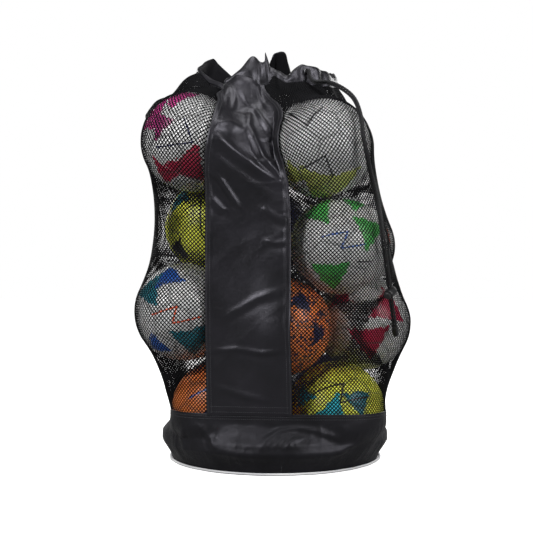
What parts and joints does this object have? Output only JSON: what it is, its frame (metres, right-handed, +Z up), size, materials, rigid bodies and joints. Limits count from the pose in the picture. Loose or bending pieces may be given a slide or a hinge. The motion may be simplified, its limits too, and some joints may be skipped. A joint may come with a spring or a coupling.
{
  "type": "mesh ball bag",
  "caption": "Tall round net sack with a solid base band, a solid front strip and a drawcord mouth with a sliding spring lock, standing full of round sports balls.",
  "frame": {"origin": "centre of the underside of the round base, on the floor", "axes": "+Z up through the mouth; -Y out of the front panel; +X to the right of someone facing the front panel"},
  "size_m": [0.613, 0.5938, 0.949],
  "materials": {
    "nylon": "coated black nylon, satin, creased",
    "net": "black polyester netting with small square holes set on their points",
    "piping": "pale grey binding tape",
    "cord": "braided black cord",
    "lock": "moulded black plastic",
    "spring": "bright spring wire",
    "eyelet": "blackened brass eyelet",
    "ball_white": "smooth white synthetic leather with printed patches",
    "ball_yellow": "smooth yellow synthetic leather with printed patches",
    "ball_orange": "smooth orange synthetic leather with printed patches"
  },
  "bodies": {
    "bag": {"base_disc": "nylon", "base_band": "nylon", "base_piping": "piping", "front_panel": "nylon", "net_body": "net", "mouth_hem_front": "nylon", "mouth_hem_back": "nylon", "drawcord_front": "cord", "drawcord_back": "cord", "cord_eyelet": "eyelet", "ball_left_top_front": "ball_white", "ball_right_top_front": "ball_white", "ball_right_top_back": "ball_white", "ball_left_top_back": "ball_white", "ball_left_upper_front": "ball_yellow", "ball_right_upper_front": "ball_white", "ball_right_upper_back": "ball_white", "ball_left_upper_back": "ball_orange", "ball_left_lower": "ball_white", "ball_centre_lower_front": "ball_orange", "ball_right_lower": "ball_white", "ball_centre_lower_back": "ball_white", "ball_left_bottom_front": "ball_orange", "ball_right_bottom_front": "ball_yellow", "ball_left_bottom_back": "ball_yellow", "ball_right_bottom_back": "ball_white"},
    "mouth_left": {"mouth_hem_left": "nylon", "drawcord_left": "cord"},
    "mouth_right": {"mouth_hem_right": "nylon", "drawcord_right": "cord"},
    "cord_tail": {"drawcord_tail_outer": "cord", "drawcord_tail_inner": "cord", "cord_end_stop": "cord"},
    "cord_lock": {"cord_lock_body": "lock", "cord_lock_spring": "spring"},
    "cord_lock_button": {"cord_lock_plunger": "lock"}
  },
  "joints": [
    {"name": "mouth_left_open", "type": "slide", "parent": "bag", "child": "mouth_left", "axis": [-1, 0, 0], "range_m": [0, 0.045]},
    {"name": "mouth_right_open", "type": "slide", "parent": "bag", "child": "mouth_right", "axis": [1, 0, 0], "range_m": [0, 0.045]},
    {"name": "cord_lift", "type": "hinge", "parent": "bag", "child": "cord_tail", "pos_m": [0.10844, -0.14783, 0.88605], "axis": [-0.7193, -0.6947, 0], "range_deg": [0, 95]},
    {"name": "cord_lock_slide", "type": "slide", "parent": "cord_tail", "child": "cord_lock", "axis": [-0.0806, -0.4435, 0.8927], "range_m": [-0.05, 0.07]},
    {"name": "cord_lock_press", "type": "slide", "parent": "cord_lock", "child": "cord_lock_button", "axis": [0.3208, 0.8364, 0.4445], "range_m": [0, 0.004], "stiffness_N_per_m": 900, "springref_m": -0.003, "deforming": ["cord_lock_spring"]}
  ],
  "couplings": [
    {"joint": "mouth_right_open", "follows": "mouth_left_open", "ratio": 1}
  ]
}
